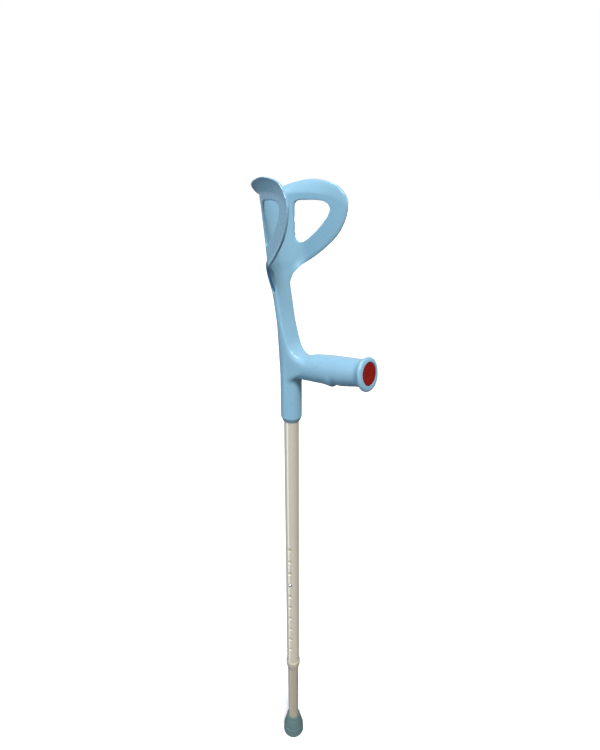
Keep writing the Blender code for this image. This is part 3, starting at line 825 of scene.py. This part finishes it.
# depths below the end of the grip
front = [(0, 0.75), (5.0, 0.72), (10.0, 0.55), (12.6, 0.40), (13.6, 0.35), (14.4, 0.6),
         (LENS_R, 1.3)]
front = smooth_line([(r, GRIP_FACE - depth) for r, depth in front], 3).tolist()
back = [(LENS_R, GRIP_FACE - 3.1), (0, GRIP_FACE - 3.1)]
lens = place(lathe("red_reflector", front + back, 96), ALONG_GRIP)
stand_in(lens, "reflector_lens", "upper", reflector_plastic())

head = smooth_line([(0, 15.2), (1.2, 15.15), (2.2, 14.95), (2.9, 14.55), (3.2, 14.0)], 3).tolist()
shank = [(3.2, 13.3), (1.6, 13.3), (1.6, 7.6), (0.9, 6.6), (0, 6.6)]
screw = lathe("fixing_screw", head + shank, 48)
for turn in (0.0, math.pi / 2):
    bar = prism("recess", [(-1.7, 14.2), (1.7, 14.2), (1.7, 16.0), (-1.7, 16.0)], -0.35, 0.35)
    cut(screw, place(bar, Matrix.Rotation(turn, 4, "Z")))
place(screw, ON_SCREW)
stand_in(screw, "tube_screw", "upper",
         bright_steel("screw_zinc", (0.58, 0.58, 0.60), 0.3))

# leaf spring: distance of its strip from the tube's axis, and heights from the button
SPRING_MID = 6.7
SPRING_THICK = 0.6
SPRING_WIDTH = 7.0
SPRING_TOP = 9.0
SPRING_BEND = -46.0
SPRING_TAIL = -16.0


def leaf_spring():
    """A U of flat strip: one leg carries the button, the other rests against the far wall."""
    path = [(SPRING_MID, z) for z in np.arange(SPRING_TOP, SPRING_BEND, -1.25)]
    path += [(SPRING_MID * math.cos(a), SPRING_BEND - SPRING_MID * math.sin(a))
             for a in np.linspace(0, math.pi, 25)]
    path += [(-SPRING_MID, z) for z in np.arange(SPRING_BEND + 2.0, SPRING_TAIL + 0.1, 2.0)]
    across = np.cross([0.0, 0.0, 1.0], FACING)
    broken = 0.12                   # how far the strip's edges are broken
    rings = []
    for i, (r, z) in enumerate(path):
        (r0, z0), (r1, z1) = path[max(i - 1, 0)], path[min(i + 1, len(path) - 1)]
        run = math.hypot(r1 - r0, z1 - z0)
        out_r, out_z = -(z1 - z0) / run, (r1 - r0) / run
        near_end = min(i, len(path) - 1 - i)
        half = SPRING_WIDTH / 2 - 0.9 * max(0.0, 1 - near_end / 2.0)
        ring = []
        for side, lift in ((-1, 1), (1, 1), (1, -1), (-1, -1)):
            corner = [(broken, 0.0), (0.0, broken)]
            for inset, drop in (corner if side * lift > 0 else corner[::-1]):
                w = side * (half - inset)
                h = lift * (SPRING_THICK / 2 - drop)
                at_height = np.array([0, 0, BUTTON_Z + z + out_z * h])
                ring.append(FACING * (r + out_r * h) + across * w + at_height)
        rings.append(ring)
    leaf = loft("leaf_spring", rings)
    at = np.array([0, 0, BUTTON_Z])
    return cut(leaf, rod("rivet_hole", 1.3, at + FACING * 5.0, at + FACING * 8.5))


leaf = finish_shape(leaf_spring())
dress(leaf, bright_steel("spring_steel", (0.42, 0.42, 0.44), 0.34))
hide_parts("button_spring")
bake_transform(leaf)

redress("ferrule_washer", bright_steel("washer_steel", (0.48, 0.48, 0.49), 0.4))
redress("reflector_back", grey_shell())

# ---------------------------------------------------------------- camera
AZ = math.radians(41.0)             # from -Y towards +X
PITCH = math.radians(20.77)         # looking down
DIST = 0.6324                       # from the shaft to the camera, level
HEIGHT = 0.9867
SIDE = -0.01258                     # how far right of the view's middle the shaft stands
SENSOR = 36.0
LENS = 22.8
cam_data = bpy.data.cameras.new("camera")
camera = bpy.data.objects.new("camera", cam_data)
scene.collection.objects.link(camera)
cam_data.sensor_fit = "VERTICAL"
cam_data.sensor_height = SENSOR
cam_data.lens = LENS
cam_data.clip_start = 0.02
toward = Vector((math.sin(AZ), -math.cos(AZ), 0))
right = Vector((math.cos(AZ), math.sin(AZ), 0))
camera.location = toward * DIST - right * SIDE + Vector((0, 0, HEIGHT))
look = -toward * math.cos(PITCH) + Vector((0, 0, -math.sin(PITCH)))
camera.rotation_euler = look.to_track_quat("-Z", "Y").to_euler()
scene.camera = camera

# ---------------------------------------------------------------- floor and light
bpy.ops.mesh.primitive_circle_add(vertices=128, radius=60.0, fill_type="NGON",
                                  location=(0, 0, -0.0002))
floor = bpy.context.active_object
floor.name = "floor"
floor_mat = bpy.data.materials.new("pale_floor")
floor_mat.use_nodes = True
for socket, value in (("Base Color", (0.94, 0.94, 0.94, 1)), ("Roughness", 0.9),
                      ("Specular IOR Level", 0.0), ("Emission Color", (1.0, 1.0, 1.0, 1)),
                      ("Emission Strength", 0.25)):
    floor_mat.node_tree.nodes["Principled BSDF"].inputs[socket].default_value = value
floor.data.materials.append(floor_mat)
floor.visible_diffuse = False
floor.visible_glossy = False
# the floor stays under the ferrule when the leg is let out
leg = frame["bodies"]["lower_leg"]
bpy.context.view_layer.update()
floor.parent = leg
floor.matrix_parent_inverse = leg.matrix_world.inverted()

KEY_FROM = Vector((0.85, -0.58, 1.2))
sun = bpy.data.lights.new("key", "SUN")
sun.energy = 2.75
sun.angle = math.radians(16.0)
key = bpy.data.objects.new("key", sun)
key.rotation_euler = (-KEY_FROM).to_track_quat("-Z", "Y").to_euler()
scene.collection.objects.link(key)


def softbox(name, where, target, size, power, colour):
    """An area light kept out of diffuse light, so that it adds only gloss."""
    light = bpy.data.lights.new(name, "AREA")
    light.shape = "RECTANGLE"
    light.size, light.size_y = size
    light.energy = power
    light.color = colour
    obj = bpy.data.objects.new(name, light)
    obj.location = where
    obj.rotation_euler = (Vector(target) - Vector(where)).to_track_quat("-Z", "Y").to_euler()
    obj.visible_diffuse = False
    scene.collection.objects.link(obj)


softbox("left", where=(-1.05, -1.9, -0.45), target=(0, 0, -0.45), size=(0.85, 4.8), power=19.0,
        colour=(0.84, 0.90, 1.0))
softbox("overhead", where=(0.10, -0.15, 3.0), target=(0, 0, 1.0), size=(0.7, 0.7), power=45.0,
        colour=(1.0, 1.0, 1.0))

# the studio: white as seen by the camera; for everything else soft above and dim below, stronger
# from the left of the view than from the right, with its own even fill behind
STUDIO = [(0.0, (0.10, 0.10, 0.10)), (0.38, (0.15, 0.15, 0.15)), (0.5, (0.46, 0.46, 0.455)),
          (0.62, (0.64, 0.64, 0.635)), (0.78, (0.62, 0.63, 0.64)), (1.0, (0.58, 0.59, 0.60))]
LEFT_GAIN = (1.46, 1.66, 1.86)
RIGHT_GAIN = (0.44, 0.38, 0.33)
REAR_GAIN = (1.25, 1.25, 1.24, 1.0)
WHITE = (1.0, 1.0, 1.0, 1.0)
world = bpy.data.worlds.new("studio")
scene.world = world
world.use_nodes = True
tree = world.node_tree
where = tree.nodes.new("ShaderNodeTexCoord").outputs["Generated"]


def fade(value, lo, hi, out_lo, out_hi):
    made = tree.nodes.new("ShaderNodeMapRange")
    for socket, number in zip(RANGE, (lo, hi, out_lo, out_hi)):
        made.inputs[socket].default_value = number
    tree.links.new(value, made.inputs["Value"])
    return made.outputs["Result"]


def along(direction):
    made = tree.nodes.new("ShaderNodeVectorMath")
    made.operation = "DOT_PRODUCT"
    made.inputs[1].default_value = tuple(direction)
    tree.links.new(where, made.inputs[0])
    return made.outputs["Value"]


def mix(how, fac, a, b):
    made = tree.nodes.new("ShaderNodeMix")
    made.data_type = "RGBA"
    made.blend_type = how
    for socket, value in ((0, fac), (MIX_A, a), (MIX_B, b)):
        if isinstance(value, (int, float, tuple)):
            made.inputs[socket].default_value = value
        else:
            tree.links.new(value, made.inputs[socket])
    return made.outputs[MIXED]


ramp = tree.nodes.new("ShaderNodeValToRGB")
while len(ramp.color_ramp.elements) < len(STUDIO):
    ramp.color_ramp.elements.new(0.5)
# all the places before any colour, because a stop that moves can change its turn
for stop, (height, colour) in zip(ramp.color_ramp.elements, STUDIO):
    stop.position = height
for stop, (height, colour) in zip(ramp.color_ramp.elements, STUDIO):
    stop.color = (*colour, 1)
tree.links.new(fade(along((0, 0, 1)), -1, 1, 0, 1), ramp.inputs["Fac"])
gain = tree.nodes.new("ShaderNodeCombineColor")
for socket, left_gain, right_gain in zip(gain.inputs[:3], LEFT_GAIN, RIGHT_GAIN):
    tree.links.new(fade(along(right), -0.9, 0.9, left_gain, right_gain), socket)
lit = mix("MULTIPLY", 1.0, ramp.outputs["Color"], gain.outputs["Color"])
behind = fade(along(-toward), 0.15, 0.75, 0.0, 1.0)
lit = mix("MIX", behind, lit, mix("MULTIPLY", 1.0, ramp.outputs["Color"], REAR_GAIN))
rays = tree.nodes.new("ShaderNodeLightPath")
seen = mix("MIX", rays.outputs["Is Camera Ray"], lit, WHITE)
tree.links.new(seen, tree.nodes["Background"].inputs["Color"])
tree.nodes["Background"].inputs["Strength"].default_value = 1.0
scene.view_settings.view_transform = "Standard"
